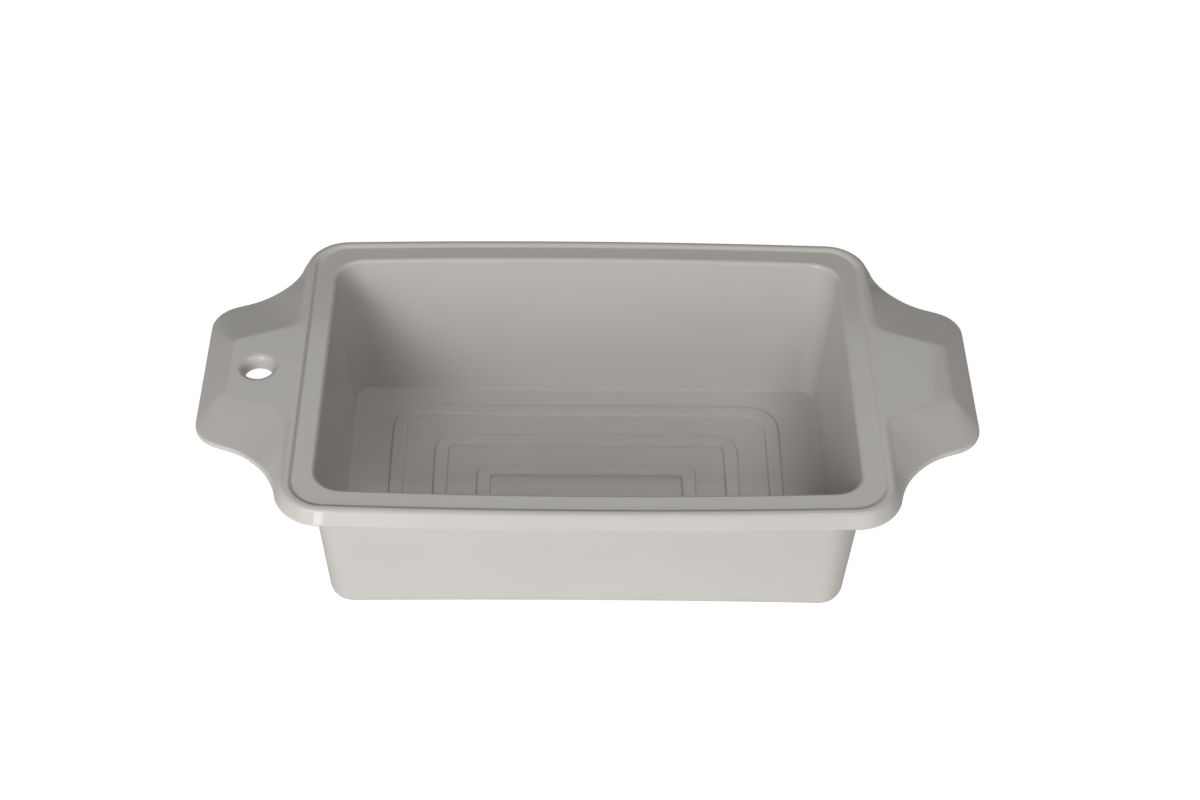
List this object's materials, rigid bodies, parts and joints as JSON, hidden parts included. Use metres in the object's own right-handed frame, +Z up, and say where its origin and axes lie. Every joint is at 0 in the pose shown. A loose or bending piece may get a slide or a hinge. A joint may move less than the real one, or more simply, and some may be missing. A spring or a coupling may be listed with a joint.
{
  "type": "loaf pan",
  "caption": "Soft silicone loaf pan with leaning walls, a stepped rim with a raised outer bead, tab handles with raised pads, a hang hole in one handle and raised rings on the floor.",
  "frame": {"origin": "on the surface that the pan stands on, under the middle of the base", "axes": "+Z up out of the mouth; +X along the pan towards the plain handle, so the hang hole is on the -X side; +Y across the pan"},
  "size_m": [0.3144, 0.1718, 0.072],
  "materials": {
    "silicone": "fine matt, light warm grey",
    "steel_wire": "bright drawn wire"
  },
  "bodies": {
    "root": {"pan_body": "silicone", "rim_wire": "steel_wire", "left_handle_wire": "steel_wire", "right_handle_wire": "steel_wire"}
  },
  "joints": []
}
